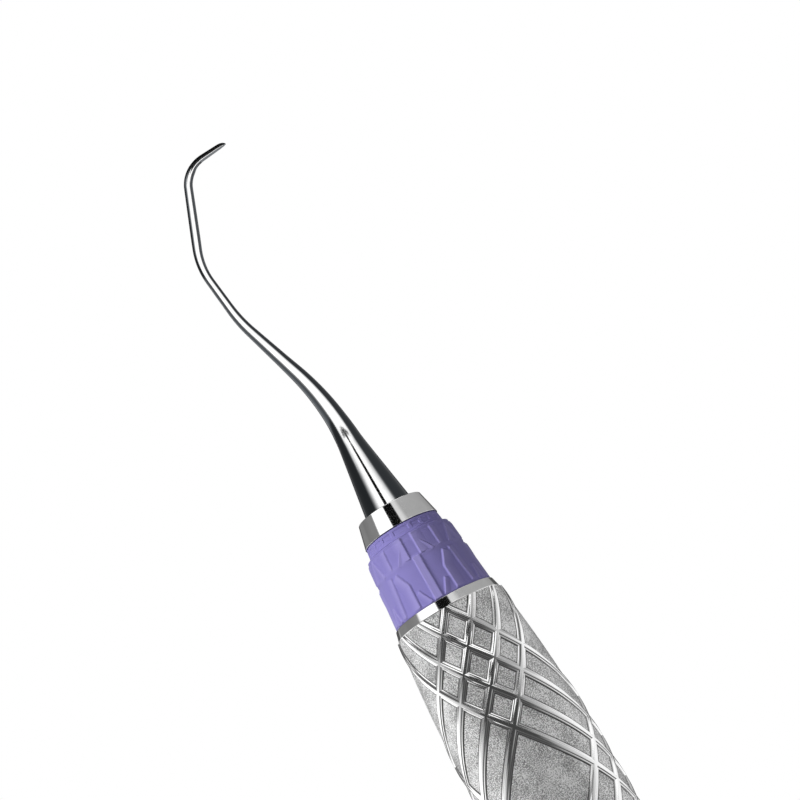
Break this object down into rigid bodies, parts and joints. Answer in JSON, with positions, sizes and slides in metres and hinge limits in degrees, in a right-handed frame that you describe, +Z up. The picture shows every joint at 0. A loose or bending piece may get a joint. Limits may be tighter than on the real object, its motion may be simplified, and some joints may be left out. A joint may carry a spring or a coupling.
{
  "type": "dental explorer",
  "caption": "Double-ended dental hand instrument: hollow steel handle with raised crossing ridges, soft purple grips, and slender bent steel tips.",
  "frame": {"origin": "middle of the handle, on its axis", "axes": "+X along the handle towards end A's working tip, +Z up with the instrument lying flat, so both tips bend in the XY plane"},
  "size_m": [0.177, 0.0115, 0.0114],
  "materials": {
    "handle_steel": "bead-blasted satin floor with raised polished ridges",
    "polished_steel": "mirror polished",
    "core_steel": "as turned",
    "tip_steel": "polished",
    "grip_silicone": "matt moulded purple silicone"
  },
  "bodies": {
    "root": {"handle_shell": "handle_steel", "end_cone_a": "core_steel", "end_cone_b": "core_steel", "end_band_a": "polished_steel", "end_band_b": "polished_steel", "grip_sleeve_a": "grip_silicone", "grip_sleeve_b": "grip_silicone", "nose_ferrule_a": "polished_steel", "nose_ferrule_b": "polished_steel", "working_tip_a": "tip_steel", "working_tip_b": "tip_steel"}
  },
  "joints": []
}
